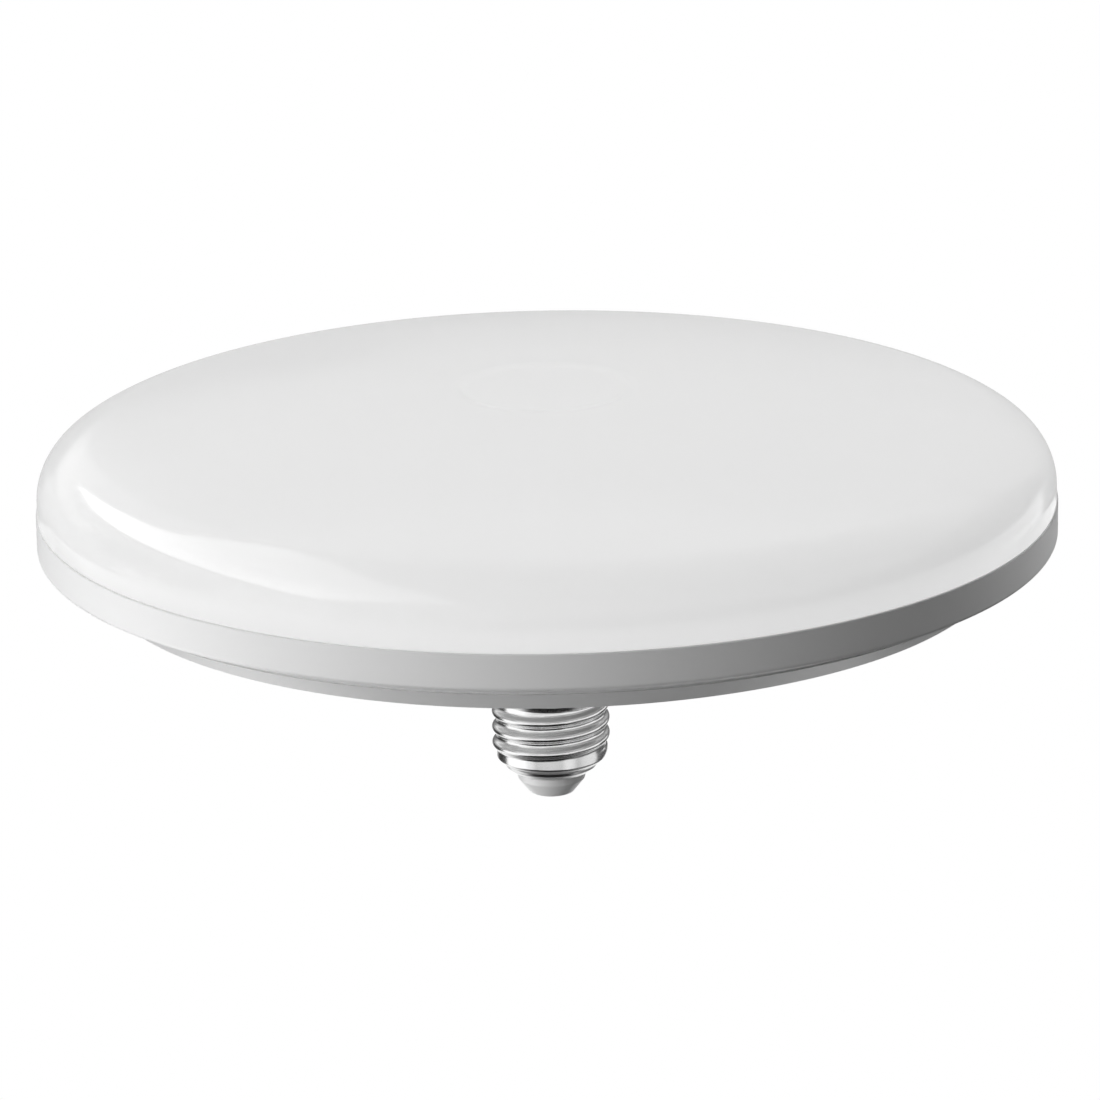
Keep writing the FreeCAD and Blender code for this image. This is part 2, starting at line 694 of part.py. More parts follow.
def make_screws(label, ring, count, start_angle, under_head, prefix):
    """Pan-head screws on a circle, as separate solids of one group."""
    body = new_body(label)
    shank = new_sketch(body, label + "_shanks", "XY_Plane", under_head)
    head = new_sketch(body, label + "_heads", "XY_Plane", under_head)
    for index, (x, y) in enumerate(round_points(ring, count, start_angle)):
        circle(shank, x, y, prefix + "_radius", f"shank{chr(97 + index)}")
        circle(head, x, y, prefix + "_head_radius", f"head{chr(97 + index)}")
    pad(body, label + "_shank", shank, prefix + "_length", down=True)
    pad(body, label + "_head", head, prefix + "_head_height")
    return body


# Driver: a round board over the neck's mouth, tall parts below it and flat ones on top
def make_can(name):
    """A round component hanging under the driver board, its lower edge broken."""
    radius, foot = name + "_radius", f"driver_bottom - {name}_height"
    turned(name, [
        ("0", foot), (f"{radius} - can_edge", foot), (radius, f"{foot} + can_edge"),
        (radius, "driver_bottom"), ("0", "driver_bottom"),
    ], x=name + "_x", y=name + "_y")


def make_power_choke():
    """A drum core and the winding between its flanges."""
    foot = "driver_bottom - power_choke_height"
    turned("power_choke_core", [
        ("0", foot), ("power_choke_radius", foot), ("power_choke_radius", f"{foot} + choke_flange"),
        ("choke_waist_radius", f"{foot} + choke_flange"),
        ("choke_waist_radius", "driver_bottom - choke_flange"),
        ("power_choke_radius", "driver_bottom - choke_flange"),
        ("power_choke_radius", "driver_bottom"), ("0", "driver_bottom"),
    ], x="power_choke_x", y="power_choke_y")
    outer = "power_choke_radius - winding_inset"
    turned("power_choke_winding", [
        ("choke_waist_radius", f"{foot} + choke_flange"), (outer, f"{foot} + choke_flange"),
        (outer, "driver_bottom - choke_flange"), ("choke_waist_radius", "driver_bottom - choke_flange"),
    ], x="power_choke_x", y="power_choke_y")


def make_driver():
    hole = "driver_screw_radius + screw_hole_clearance"
    disc("driver_board", "driver_bottom", "driver_radius", "driver_thickness",
         [(x, y, hole) for x, y in round_points("driver_screw_circle", 3, 90)])
    for name in CANS:
        if name != "power_choke":
            make_can(name)
    make_power_choke()
    for name in PACKAGES_BELOW:
        block(name, name + "_x", name + "_y", f"driver_bottom - {name}_height",
              name + "_length", name + "_width", name + "_height")
    for name in PACKAGES_ABOVE:
        block(name, name + "_x", name + "_y", "driver_top",
              name + "_length", name + "_width", name + "_height")


def make_leads():
    lead("line_lead", [
        ("-mains_lead_offset", "driver_bottom"),
        ("-mains_lead_offset", "neck_bottom + mains_lead_drop"),
        ("0", "spigot_bottom + mains_lead_drop"),
        ("0", "rivet_top"),
    ], "0")
    joint = "cap_taper_top + neutral_joint_rise"
    lead("neutral_lead", [
        ("mains_lead_offset", "driver_bottom"),
        ("mains_lead_offset", joint),
        ("thread_root_radius - cap_wall - joint_clearance", joint),
    ], "0")
    for label, side in (("led_lead_positive", 1), ("led_lead_negative", -1)):
        lead(label, [
            ("led_lead_offset", "driver_top"),
            ("led_lead_offset", "board_top + connector_height / 2"),
            ("connector_distance", "board_top + connector_height / 2"),
        ], f"{side} * led_lead_spacing / 2")


def write_parts():
    """Check every object and write each sub-part to its own file."""
    doc.recompute()
    for thing in doc.Objects:
        faults = [state for state in thing.State if state in ("Invalid", "Error")]
        if faults:
            raise RuntimeError(f"{thing.Name} did not build: {thing.State}")
    os.makedirs("parts", exist_ok=True)
    for part in sub_parts:
        if part.Shape.isNull() or not part.Shape.isValid():
            raise RuntimeError(f"{part.Label} has no valid shape")
        part.Shape.exportStep(os.path.join("parts", part.Label + ".step"))
        print(part.Label, len(part.Shape.Solids), "solids", round(part.Shape.Volume, 2), "mm3")


make_diffuser()
make_housing()
make_light_engine()
make_screws("board_screws", "board_screw_circle", 4, 45, "board_top", "board_screw")
make_driver()
make_screws("driver_screws", "driver_screw_circle", 3, 90, "driver_top", "driver_screw")
make_leads()
make_cap_shell()
make_cap_insulator()
make_centre_contact()
write_parts()
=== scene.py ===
"""Looks of an LED disc lamp: opal dome, white stepped housing and nickel screw cap.

Metres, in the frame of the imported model: the origin is the face of the centre
contact, and +Z points from the screw cap to the crown of the dome.
"""

import math

import bmesh
import bpy
from mathutils import Matrix, Vector


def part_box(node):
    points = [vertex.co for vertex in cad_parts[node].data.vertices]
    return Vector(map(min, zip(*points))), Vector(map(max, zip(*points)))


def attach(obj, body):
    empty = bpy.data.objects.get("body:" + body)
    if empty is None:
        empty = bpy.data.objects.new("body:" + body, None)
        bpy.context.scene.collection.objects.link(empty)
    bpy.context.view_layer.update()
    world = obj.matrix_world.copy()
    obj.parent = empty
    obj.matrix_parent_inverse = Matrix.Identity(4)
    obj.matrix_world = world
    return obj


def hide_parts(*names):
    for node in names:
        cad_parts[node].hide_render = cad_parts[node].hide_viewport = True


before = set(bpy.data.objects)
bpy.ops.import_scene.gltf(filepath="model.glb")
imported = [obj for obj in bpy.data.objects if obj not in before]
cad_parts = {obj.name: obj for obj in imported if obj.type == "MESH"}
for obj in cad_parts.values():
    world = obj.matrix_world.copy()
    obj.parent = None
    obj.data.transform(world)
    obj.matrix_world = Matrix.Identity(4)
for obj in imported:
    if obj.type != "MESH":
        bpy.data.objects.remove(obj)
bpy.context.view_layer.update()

MM = 0.001

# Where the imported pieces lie
housing_low, housing_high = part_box("housing")
plate_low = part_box("heat_sink_plate")[0]
board_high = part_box("led_board")[1]
dome_low, dome_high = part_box("diffuser")
cap_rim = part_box("cap_shell")[1].z
insulator_low, insulator_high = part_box("cap_insulator")
contact_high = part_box("centre_contact")[1]
driver_low, driver_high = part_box("driver_board")
rim_top = housing_high.z
ring_radius = housing_high.x
dome_radius = dome_high.x

# Meshes
TURN_SEGMENTS = 256
SLEEVE_SEGMENTS = 192
INSULATOR_SEGMENTS = 128
CONTACT_SEGMENTS = 96
SMALL_SEGMENTS = 64
BOSS_SEGMENTS = 48
WINDOW_SEGMENTS = 24
POLE_RADIUS = 1e-7
SHARP_ANGLE = 40
HOLD_SHARE = 1.3
FINE_ROUND = 0.1 * MM
SMALL_ROUND = 0.2 * MM
EDGE_ROUND = 0.25 * MM

# Housing
RING_HEIGHT = 8.0 * MM
RING_WALL = 2.0 * MM
RING_UNDERSIDE = 2.5 * MM
HOUSING_WALL = 2.0 * MM
BACK_SLOPE_WIDTH = 11.0 * MM
BACK_SLOPE_HEIGHT = 8.1 * MM
BACK_FLOOR_RISE = 4.9 * MM
SHADE_GROOVE_DROP = 1.6 * MM
SHADE_GROOVE_HEIGHT = 1.1 * MM
SHADE_GROOVE_DEPTH = 0.8 * MM
NECK_TOP_RADIUS = 34.0 * MM
NECK_HEIGHT = 20.6 * MM
COLLAR_RADIUS = 16.5 * MM
COLLAR_ROUND = 0.6 * MM
NECK_FOOT_ROUND = 1.2 * MM
NECK_TOP_ROUND = 7 * MM
STEP_ROUND = 0.5 * MM
SLOPE_TOP_ROUND = 0.3 * MM
RING_FOOT_ROUND = 0.9 * MM
RING_RIM_ROUND = 0.3 * MM
INNER_STEP_ROUND = 1 * MM
INNER_NECK_ROUND = 3 * MM
SPIGOT_RADIUS = 11.73 * MM
LEDGE_WIDTH = 2.0 * MM
RIB_COUNT = 12
RIB_THICKNESS = 1.4 * MM
RIB_HEIGHT = 3.6 * MM
RIB_GAP = 4.0 * MM
BOSS_FOOT_RISE = 1.2 * MM
SNAP_GROOVE_DEPTH = 0.65 * MM
ring_bottom = rim_top - RING_HEIGHT
back_floor = ring_bottom - BACK_SLOPE_HEIGHT
neck_top = back_floor - BACK_FLOOR_RISE
neck_bottom = neck_top - NECK_HEIGHT
slope_top_radius = ring_radius - RING_UNDERSIDE
step_radius = slope_top_radius - BACK_SLOPE_WIDTH
ring_inner_radius = ring_radius - RING_WALL
floor_ratio = BACK_FLOOR_RISE / (step_radius - NECK_TOP_RADIUS)

# Diffuser
DOME_WALL = 1.5 * MM
DOME_STRAIGHT = 3.3 * MM
SHOULDER_ROUND = 10.8 * MM
SHOULDER_ANGLE = 56.86
BLEND_ROUND = 23.5 * MM
BLEND_ANGLE = 78.86
RECESS_RADIUS = 18.55 * MM
RECESS_DEPTH = 0.35 * MM
RECESS_EDGE = 0.6 * MM
DOME_FOOT_ROUND = 0.4 * MM
SKIRT_STEP_BOTTOM = 0.75 * MM
SKIRT_STEP_TOP = 2.55 * MM
SNAP_CLEARANCE = 0.2 * MM
LUG_COUNT = 6
LUG_RISE = 0.6 * MM
LUG_HEIGHT = 1.2 * MM
LUG_REACH = 0.5 * MM
LUG_ROOT = 0.75 * MM
LUG_WIDTH = 12 * MM
skirt_radius = ring_inner_radius - SNAP_CLEARANCE
lug_bottom = dome_low.z + LUG_RISE
lug_top = lug_bottom + LUG_HEIGHT

# Screw cap
CAP_WALL = 0.3 * MM
CAP_ROUND = 0.4 * MM
TAPER_ROUND = 0.7 * MM
LIP_RADIUS = 7.9 * MM
LIP_HEIGHT = 5.1 * MM
FOOT_RADIUS = 10.3 * MM
FOOT_HEIGHT = 6.9 * MM
WAIST_RADIUS = 10.6 * MM
WAIST_HEIGHT = 7.7 * MM
THREAD_ROOT_RADIUS = 12.15 * MM
TAPER_TOP = 8.85 * MM
BELL_RADIUS = 12.65 * MM
BELL_HEIGHT = 1.2 * MM
FIRST_CREST = 10.35 * MM
THREAD_DEPTH = 1.0 * MM
THREAD_PITCH = 3.629 * MM
THREAD_TURNS = 3.15
THREAD_RUN_OUT = 0.12
THREAD_ROW_STEP = 0.16 * MM
INSULATOR_TIP_RADIUS = 5.0 * MM
INSULATOR_TIP_ROUND = 0.3 * MM
INSULATOR_SHOULDER_RADIUS = 7.5 * MM
INSULATOR_SHOULDER_HEIGHT = 3.75 * MM
INSULATOR_SHOULDER_ROUND = 0.6 * MM
INSULATOR_CLEARANCE = 0.06 * MM
STEM_RADIUS = 1.2 * MM
RIVET_RADIUS = 2.2 * MM

# LED board and driver
LED_INNER_RING = 28.0 * MM
LED_EDGE_GAP = 9.0 * MM
LED_RINGS = 4
LED_SPOKES = 18
LED_LENGTH = 3.5 * MM
LED_WIDTH = 2.8 * MM
LED_HEIGHT = 0.7 * MM
LED_ROUND = 0.12 * MM
WINDOW_RADIUS = 1.15 * MM
WINDOW_EDGE = 0.1 * MM
WINDOW_RISE = 0.02 * MM
DRUM_WAIST_RADIUS = 2.8 * MM
WIRE_RADIUS = 0.3 * MM
WIRE_SIDES = 12
COIL_STEPS = 48

# Screws and their bosses. A screw's places are a circle, a count and a start angle in degrees.
DRIVER_SCREW_INSET = 4.0 * MM
board_screw_places = ((LED_INNER_RING + board_high.x - LED_EDGE_GAP) / 2, 4, 45)
driver_screw_places = (driver_high.x - DRIVER_SCREW_INSET, 3, 90)
BOARD_SCREW = {"radius": 1.25 * MM, "length": 10 * MM, "head_radius": 2.6 * MM, "head_height": 1.6 * MM}
DRIVER_SCREW = {"radius": 1.0 * MM, "length": 4 * MM, "head_radius": 2.1 * MM, "head_height": 1.4 * MM}
BOARD_BOSS_RADIUS = 4.0 * MM
DRIVER_BOSS_RADIUS = 3.0 * MM

# Surfaces: waves per metre and strengths of bumps
CLOUD_WAVES = 25
BLOOM_WAVES = 90
SKIN_STRENGTH = 0.4
LINE_STRENGTH = 0.3


# Node trees written as Python expressions

class Wire:
    """A node's output. Maths on it adds Math nodes to its tree."""

    def __init__(self, net, socket):
        self.net = net
        self.socket = socket

    def maths(self, operation, *others):
        """A Math node on this output and the other values."""
        return self.net.add("ShaderNodeMath", {"operation": operation}, [self, *others])

    def __add__(self, other):
        return self.maths("ADD", other)

    def __sub__(self, other):
        return self.maths("SUBTRACT", other)

    def __mul__(self, other):
        return self.maths("MULTIPLY", other)

    def __truediv__(self, other):
        return self.maths("DIVIDE", other)

    def __rsub__(self, other):
        return self.net.add("ShaderNodeMath", {"operation": "SUBTRACT"}, [other, self])

    __radd__ = __add__
    __rmul__ = __mul__

    def smooth(self, low, high):
        """0 below low, 1 above high, and a smooth step between."""
        return self.net.add("ShaderNodeMapRange", {"interpolation_type": "SMOOTHSTEP"},
                            {"Value": self, "From Min": low, "From Max": high})


class Net:
    """A node tree and one method that adds any node to it."""

    def __init__(self, tree):
        self.tree = tree
        tree.nodes.clear()

    def add(self, kind, settings=None, values=None, output=0):
        """A node with its settings made first, then the values or links of its sockets."""
        node = self.tree.nodes.new(kind)
        for name, value in (settings or {}).items():
            setattr(node, name, value)
        sockets = enumerate(values) if isinstance(values, list) else (values or {}).items()
        for key, value in sockets:
            if isinstance(value, Wire):
                self.tree.links.new(value.socket, node.inputs[key])
            else:
                node.inputs[key].default_value = value
        return Wire(self, node.outputs[output]) if node.outputs else node

    def output(self, wire, name):
        """Another output of the node that a wire comes from."""
        return Wire(self, wire.socket.node.outputs[name])


def grey(value):
    """A neutral colour."""
    return (value, value, value, 1)


# Materials

def new_material(name):
    """An empty material and its net."""
    material = bpy.data.materials.new(name)
    material.use_nodes = True
    return material, Net(material.node_tree)


def finish_material(net, shader):
    """Make a shader the material's surface."""
    net.add("ShaderNodeOutputMaterial", None, {"Surface": shader})


def noise(net, scale, detail=2, stretch=None):
    """Noise in the piece's own coordinates, scale in waves per metre."""
    place = net.add("ShaderNodeTexCoord", output="Object")
    if stretch:
        place = net.add("ShaderNodeMapping", None, {"Vector": place, "Scale": stretch})
    return net.add("ShaderNodeTexNoise", None, {"Vector": place, "Scale": scale, "Detail": detail})


def moulded(name, colour, roughness, grain, relief, variation=0.02, bleed=0.0, painted_glow=0.0):
    """Injection-moulded plastic: faint cloudiness, a fine skin and uneven gloss.

    bleed is how far light spreads inside it, in metres. painted_glow is painted light:
    an even emission in the piece's own colour, standing in for light that passes through a hollow opal
    piece from its far side.
    """
    material, net = new_material(name)
    cloud = noise(net, CLOUD_WAVES)
    skin = noise(net, grain, 4)
    shade = net.add("ShaderNodeMix", {"data_type": "RGBA"}, {
        0: cloud,
        6: tuple(channel * (1 - variation) for channel in colour[:3]) + (1,),
        7: colour,
    }, output=2)
    bump = net.add("ShaderNodeBump", None,
                   {"Strength": SKIN_STRENGTH, "Distance": relief, "Height": skin})
    settings = {"subsurface_method": "BURLEY"} if bleed else {}
    shader = net.add("ShaderNodeBsdfPrincipled", settings, {
        "Base Color": shade,
        "Roughness": roughness * (0.9 + 0.2 * cloud),
        "Normal": bump,
        "Subsurface Weight": 1.0 if bleed else 0.0,
        "Subsurface Radius": (bleed, bleed, bleed),
        "Subsurface Scale": 1.0,
        # Painted glow: an even emission in the piece's own colour
        "Emission Color": shade,
        "Emission Strength": painted_glow,
    })
    finish_material(net, shader)
    return material


def drawn_metal(name, colour, roughness, relief=0.004 * MM, lines=400, stretch=(1, 1, 12)):
    """Bright sheet metal with fine draw lines round its axis."""
    material, net = new_material(name)
    streak = noise(net, lines, 3, stretch)
    bloom = noise(net, BLOOM_WAVES, 2)
    bump = net.add("ShaderNodeBump", None,
                   {"Strength": LINE_STRENGTH, "Distance": relief, "Height": streak})
    shader = net.add("ShaderNodeBsdfPrincipled", None, {
        "Base Color": colour,
        "Metallic": 1.0,
        "Roughness": roughness * (0.75 + 0.3 * bloom + 0.2 * streak),
        "Normal": bump,
    })
    finish_material(net, shader)
    return material


# The dome gets painted glow: a low base colour with an even emission that makes the unlit dome glow and
# evens out its shading
opal = moulded("opal_diffuser", grey(0.25), 0.12, 900, 0.004 * MM, bleed=15 * MM, painted_glow=2.03)
white_plastic = moulded("white_housing", grey(0.84), 0.34, 2600, 0.006 * MM)
insulator_white = moulded("insulator_white", grey(0.82), 0.3, 1800, 0.005 * MM)
nickel = drawn_metal("cap_nickel", grey(0.82), 0.2)
contact_nickel = drawn_metal("contact_nickel", grey(0.62), 0.3, stretch=(1, 1, 1))
aluminium = drawn_metal("spreader_aluminium", grey(0.78), 0.38, stretch=(1, 12, 1))
solder_mask = moulded("board_aluminium", grey(0.85), 0.35, 1500, 0.004 * MM)
phosphor = moulded("led_phosphor", (0.86, 0.62, 0.08, 1), 0.45, 3000, 0.01 * MM, 0.1)
screw_steel = drawn_metal("screw_steel", grey(0.6), 0.3, stretch=(1, 1, 1))
connector_plastic = moulded("connector_plastic", grey(0.75), 0.4, 1500, 0.005 * MM)
laminate = moulded("driver_laminate", (0.12, 0.32, 0.16, 1), 0.5, 1200, 0.01 * MM, 0.2)
black_package = moulded("black_package", grey(0.03), 0.5, 3000, 0.01 * MM, 0.2)
resistor_body = moulded("resistor_body", (0.35, 0.5, 0.62, 1), 0.45, 2500, 0.01 * MM, 0.1)
varistor_coat = moulded("varistor_coat", (0.1, 0.22, 0.5, 1), 0.4, 1200, 0.02 * MM, 0.15)
film_case = moulded("film_case", (0.7, 0.55, 0.15, 1), 0.4, 1500, 0.01 * MM, 0.08)
can_sleeve = moulded("can_sleeve", (0.03, 0.04, 0.08, 1), 0.3, 1500, 0.006 * MM, 0.1)
ferrite = moulded("ferrite", grey(0.05), 0.6, 2500, 0.02 * MM, 0.3)
copper_wire = drawn_metal("copper_wire", (0.75, 0.36, 0.18, 1), 0.3, stretch=(1, 1, 1))
red_insulation = moulded("red_insulation", (0.5, 0.02, 0.02, 1), 0.4, 1500, 0.006 * MM, 0.1)
black_insulation = moulded("black_insulation", grey(0.03), 0.4, 1500, 0.006 * MM, 0.1)


# Outlines and meshes

def arc(centre, radius, start, end, steps):
    """Points on an arc of an outline, between two angles in degrees."""
    points = []
    for step in range(steps + 1):
        angle = math.radians(start + (end - start) * step / steps)
        points.append((centre[0] + radius * math.cos(angle), centre[1] + radius * math.sin(angle)))
    return points


def rounded(corners, steps=5):
    """A closed outline through corners, each a radius, a height and its own rounding.

    A point a little before and after each rounding keeps the shading of the flats even.
    """
    outline = []
    for index, (radius, height, rounding) in enumerate(corners):
        corner = Vector((radius, height))
        if rounding == 0:
            outline.append(tuple(corner))
            continue
        back = (Vector(corners[index - 1][:2]) - corner).normalized()
        ahead = (Vector(corners[(index + 1) % len(corners)][:2]) - corner).normalized()
        half = back.angle(ahead) / 2
        reach = rounding / math.tan(half)
        centre = corner + (back + ahead).normalized() * (rounding / math.sin(half))
        spoke = corner + back * reach - centre
        turn = math.pi - 2 * half
        if back.x * ahead.y - back.y * ahead.x > 0:
            turn = -turn
        outline.append(tuple(corner + back * reach * HOLD_SHARE))
        for step in range(steps + 1):
            outline.append(tuple(centre + Matrix.Rotation(turn * step / steps, 2) @ spoke))
        outline.append(tuple(corner + ahead * reach * HOLD_SHARE))
    return outline


def turned(name, outline, closed=True, segments=TURN_SEGMENTS):
    """An outline swept round the lamp's axis, with a pole where it meets the axis."""
    mesh = bmesh.new()
    rings = []
    for radius, height in outline:
        count = 1 if radius < POLE_RADIUS else segments
        angles = [2 * math.pi * step / segments for step in range(count)]
        rings.append([
            mesh.verts.new((radius * math.cos(angle), radius * math.sin(angle), height))
            for angle in angles
        ])
    following = rings[1:] + rings[:1] if closed else rings[1:]
    for lower, upper in zip(rings, following):
        if len(lower) == len(upper) == 1:
            continue
        for step in range(segments):
            after = (step + 1) % segments
            loop = [
                lower[step % len(lower)], lower[after % len(lower)],
                upper[after % len(upper)], upper[step % len(upper)],
            ]
            mesh.faces.new(list(dict.fromkeys(loop)))
    bmesh.ops.recalc_face_normals(mesh, faces=mesh.faces)
    return as_piece(name, mesh)


def as_piece(name, mesh):
    """An object at the origin, made from a bmesh, smooth but for its sharp corners."""
    data = bpy.data.meshes.new(name)
    mesh.to_mesh(data)
    mesh.free()
    for face in data.polygons:
        face.use_smooth = True
    data.set_sharp_from_angle(angle=math.radians(SHARP_ANGLE))
    piece = bpy.data.objects.new(name, data)
    bpy.context.scene.collection.objects.link(piece)
    return piece


def box_piece(name, low, high, rounding):
    """A box between two corners, with its edges rounded."""
    mesh = bmesh.new()
    middle = (Vector(low) + Vector(high)) / 2
    bmesh.ops.create_cube(mesh, size=1)
    bmesh.ops.scale(mesh, verts=mesh.verts, vec=Vector(high) - Vector(low))
    bmesh.ops.translate(mesh, verts=mesh.verts, vec=middle)
    bmesh.ops.bevel(mesh, geom=mesh.edges, offset=rounding, segments=2, profile=0.5, affect="EDGES")
    return as_piece(name, mesh)


def prism(name, outline, thickness):
    """A flat outline of x and z, with its thickness halved by the XZ plane."""
    mesh = bmesh.new()
    near, far = [
        [mesh.verts.new((x, y, z)) for x, z in outline] for y in (-thickness / 2, thickness / 2)
    ]
    mesh.faces.new(near)
    mesh.faces.new(far[::-1])
    for index, start in enumerate(near):
        after = (index + 1) % len(near)
        mesh.faces.new((start, far[index], far[after], near[after]))
    bmesh.ops.recalc_face_normals(mesh, faces=mesh.faces)
    return as_piece(name, mesh)


def dress(piece, material, node):
    """Give a finished piece its material, body and slot, and hide the imported node that it stands for."""
    piece.data.materials.clear()
    piece.data.materials.append(material)
    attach(piece, "root")
    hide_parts(node)


def after_modifiers(piece):
    """The piece as a plain mesh with its modifiers applied."""
    bpy.context.view_layer.update()
    graph = bpy.context.evaluated_depsgraph_get()
    data = bpy.data.meshes.new_from_object(piece.evaluated_get(graph))
    piece.modifiers.clear()
    piece.data = data
    return piece


# Geometry node trees

def geometry_tree(name, sizes):
    """An empty tree with a geometry input, a named input for each size and a material."""
    tree = bpy.data.node_groups.new(name, "GeometryNodeTree")
    net = Net(tree)
    tree.interface.new_socket("Geometry", in_out="INPUT", socket_type="NodeSocketGeometry")
    for size in sizes:
        tree.interface.new_socket(size, in_out="INPUT", socket_type="NodeSocketFloat")
    tree.interface.new_socket("Material", in_out="INPUT", socket_type="NodeSocketMaterial")
    tree.interface.new_socket("Geometry", in_out="OUTPUT", socket_type="NodeSocketGeometry")
    entry = net.add("NodeGroupInput")
    return net, {size: net.output(entry, size) for size in ("Geometry", *sizes, "Material")}


def close_tree(net, geometry, inputs):
    """Realize the instances, set the material and end the tree."""
    real = net.add("GeometryNodeRealizeInstances", None, {"Geometry": geometry})
    finished = net.add("GeometryNodeSetMaterial", None,
                       {"Geometry": real, "Material": inputs["Material"]})
    net.add("NodeGroupOutput", None, {"Geometry": finished})
    return net.tree


def grown(piece, tree, material, sizes):
    """The piece after a geometry tree, as a plain mesh."""
    modifier = piece.modifiers.new(tree.name, "NODES")
    modifier.node_group = tree
    values = {**sizes, "Material": material}
    for item in tree.interface.items_tree:
        if item.in_out == "INPUT" and item.name in values:
            modifier[item.identifier] = values[item.name]
    return after_modifiers(piece)


def round_the_axis_tree():
    """Copies of the incoming geometry, evenly round the Z axis, in one or more rings."""
    net, inputs = geometry_tree("round_the_axis", ("Count", "Start Angle", "Rings", "Ring Step"))
    count = inputs["Count"]
    index = net.add("GeometryNodeInputIndex")
    ring = ((index + 0.5) / count).maths("FLOOR")
    turn = inputs["Start Angle"] + (index - ring * count) * (2 * math.pi) / count
    outward = ring * inputs["Ring Step"]
    place = net.add("ShaderNodeCombineXYZ", None,
                    {"X": outward * turn.maths("COSINE"), "Y": outward * turn.maths("SINE")})
    facing = net.add("ShaderNodeCombineXYZ", None, {"Z": turn})
    points = net.add("GeometryNodePoints", None,
                     {"Count": count * inputs["Rings"], "Position": place})
    copies = net.add("GeometryNodeInstanceOnPoints", None,
                     {"Points": points, "Instance": inputs["Geometry"], "Rotation": facing})
    return close_tree(net, copies, inputs)


def wound_wire_tree():
    """A close coil of round wire about the Z axis."""
    net, inputs = geometry_tree("wound_wire", ("Coil Radius", "Wire Radius", "Length"))
    wire = inputs["Wire Radius"]
    turns = inputs["Length"] / (wire * 2)
    path = net.add("GeometryNodeCurveSpiral", None, {
        "Resolution": COIL_STEPS, "Rotations": turns, "Start Radius": inputs["Coil Radius"],
        "End Radius": inputs["Coil Radius"], "Height": inputs["Length"],
    })
    section = net.add("GeometryNodeCurvePrimitiveCircle", None,
                      {"Resolution": WIRE_SIDES, "Radius": wire})
    coil = net.add("GeometryNodeCurveToMesh", None,
                   {"Curve": path, "Profile Curve": section, "Fill Caps": True})
    both = net.add("GeometryNodeJoinGeometry")
    net.tree.links.new(coil.socket, both.socket.node.inputs[0])
    net.tree.links.new(inputs["Geometry"].socket, both.socket.node.inputs[0])
    return close_tree(net, both, inputs)


def rolled_thread_tree():
    """Pushes a plain sleeve out into a rolled thread that runs out at both ends."""
    net, inputs = geometry_tree("rolled_thread", ("First Crest", "Pitch", "Depth", "Turns", "Run Out"))
    pitch, depth = inputs["Pitch"], inputs["Depth"]
    place = net.add("GeometryNodeInputPosition")
    x = net.add("ShaderNodeSeparateXYZ", None, {"Vector": place})
    y, z = net.output(x, "Y"), net.output(x, "Z")
    angle = y.maths("ARCTAN2", x) / (2 * math.pi)
    whole = angle - angle.maths("FLOOR")
    climb = (z - inputs["First Crest"]) / pitch
    turns = (climb - whole + 0.5).maths("FLOOR") + whole
    off_crest = (climb - turns).maths("ABSOLUTE") * pitch
    # The section is a crest arc and a root arc of one radius, tangent half way down.
    quarter = pitch / 4
    bend = (quarter * quarter + depth * depth / 4) / depth
    crest = depth - bend + (bend * bend - off_crest * off_crest).maths("MAXIMUM", 0).maths("SQRT")
    off_root = pitch / 2 - off_crest
    root = bend - (bend * bend - off_root * off_root).maths("MAXIMUM", 0).maths("SQRT")
    on_crest = off_crest.maths("LESS_THAN", quarter)
    height = root + (crest - root) * on_crest
    run_in = turns.smooth(0 - inputs["Run Out"], inputs["Run Out"])
    run_out = 1 - turns.smooth(inputs["Turns"] - inputs["Run Out"], inputs["Turns"] + inputs["Run Out"])
    push = height * run_in * run_out
    outward = net.add("ShaderNodeCombineXYZ", None, {"X": x, "Y": y})
    outward = net.add("ShaderNodeVectorMath", {"operation": "NORMALIZE"}, [outward])
    offset = net.add("ShaderNodeVectorMath", {"operation": "SCALE"}, {"Vector": outward, "Scale": push})
    moved = net.add("GeometryNodeSetPosition", None, {"Geometry": inputs["Geometry"], "Offset": offset})
    return close_tree(net, moved, inputs)


round_the_axis = round_the_axis_tree()
rolled_thread = rolled_thread_tree()
wound_wire = wound_wire_tree()


def set_round(piece, material, count, start=0, rings=1, ring_step=0):
    """Copies of a piece evenly round the lamp's axis, from a start angle in degrees."""
    return grown(piece, round_the_axis, material, {
        "Count": float(count), "Start Angle": math.radians(start),
        "Rings": float(rings), "Ring Step": float(ring_step),
    })


# The lamp

